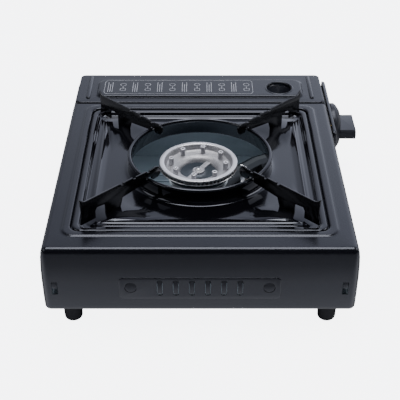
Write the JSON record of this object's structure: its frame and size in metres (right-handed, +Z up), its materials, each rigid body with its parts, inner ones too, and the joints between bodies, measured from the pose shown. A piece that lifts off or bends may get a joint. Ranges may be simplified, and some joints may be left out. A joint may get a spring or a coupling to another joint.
{
  "type": "portable gas stove",
  "caption": "Portable single-burner cassette gas stove: steel body, lift-off drip pan with pot supports, hinged cartridge lid, front gas knob and cartridge lock lever.",
  "frame": {"origin": "centre of the whole stove's footprint box, knob included, on the ground under the feet", "axes": "+Z up; +X from the burner end to the cartridge bay; -Y is the front with the knob"},
  "size_m": [0.344, 0.312, 0.111],
  "materials": {
    "shell_paint": "satin powder coat",
    "black_enamel": "glossy vitreous enamel",
    "plated_steel": "zinc plated",
    "tube_black": "satin black",
    "cast_alloy": "as cast",
    "bright_steel": "bright",
    "brass_parts": "turned",
    "white_nylon": "moulded",
    "rubber_parts": "matte",
    "ceramic": "glazed",
    "lead_sleeve": "silicone sleeve",
    "dark_plastic": "fine grained"
  },
  "bodies": {
    "stove": {"base_plate": "plated_steel", "base_screw_far_front": "bright_steel", "base_screw_far_rear": "bright_steel", "base_screw_near_front": "bright_steel", "base_screw_near_rear": "bright_steel", "bay_partition": "plated_steel", "body_shell": "shell_paint", "burner_cup": "plated_steel", "burner_head": "cast_alloy", "burner_screw": "bright_steel", "burner_stand": "plated_steel", "cartridge_rest": "plated_steel", "control_panel": "shell_paint", "electrode": "bright_steel", "electrode_bracket": "plated_steel", "electrode_insulator": "ceramic", "foot_far_front": "rubber_parts", "foot_far_rear": "rubber_parts", "foot_near_front": "rubber_parts", "foot_near_rear": "rubber_parts", "gas_jet": "brass_parts", "hinge_bracket_front": "plated_steel", "hinge_bracket_rear": "plated_steel", "hinge_pin_front": "bright_steel", "hinge_pin_rear": "bright_steel", "ignition_lead": "lead_sleeve", "inlet_collar": "white_nylon", "inlet_seal": "rubber_parts", "inlet_valve": "brass_parts", "mixing_tube": "tube_black", "piezo_igniter": "dark_plastic", "regulator_body": "cast_alloy", "regulator_cap": "plated_steel"},
    "lid": {"cartridge_lid": "shell_paint"},
    "pan": {"drip_pan": "black_enamel", "pan_support_far_front": "black_enamel", "pan_support_far_rear": "black_enamel", "pan_support_near_front": "black_enamel", "pan_support_near_rear": "black_enamel"},
    "knob": {"control_knob": "dark_plastic", "valve_spindle": "brass_parts", "striker_cam": "dark_plastic"},
    "striker": {"striker_plunger": "bright_steel", "striker_spring": "bright_steel"},
    "lever": {"lock_lever": "dark_plastic"},
    "pusher": {"push_plate": "plated_steel", "push_rod": "bright_steel"}
  },
  "joints": [
    {"name": "lid_hinge", "type": "hinge", "parent": "stove", "child": "lid", "pos_m": [0.167, 0.016, 0.079], "axis": [0, 1, 0], "range_deg": [0, 100]},
    {"name": "pan_lift", "type": "slide", "parent": "stove", "child": "pan", "axis": [0, 0, 1], "range_m": [0, 0.05]},
    {"name": "knob_turn", "type": "hinge", "parent": "stove", "child": "knob", "pos_m": [0.1097, -0.1287, 0.05], "axis": [0, -1, 0], "range_deg": [0, 100]},
    {"name": "striker_press", "type": "slide", "parent": "stove", "child": "striker", "axis": [0, 0, -1], "range_m": [0, 0.004], "deforming": ["striker_spring"]},
    {"name": "lever_slide", "type": "slide", "parent": "stove", "child": "lever", "axis": [0, 0, 1], "range_m": [0, 0.016]},
    {"name": "pusher_slide", "type": "slide", "parent": "stove", "child": "pusher", "axis": [0, 1, 0], "range_m": [0, 0.006]}
  ],
  "couplings": [
    {"joint": "striker_press", "follows": "knob_turn", "m_per_rad": 0.00229},
    {"joint": "pusher_slide", "follows": "lever_slide", "ratio": 0.375}
  ]
}
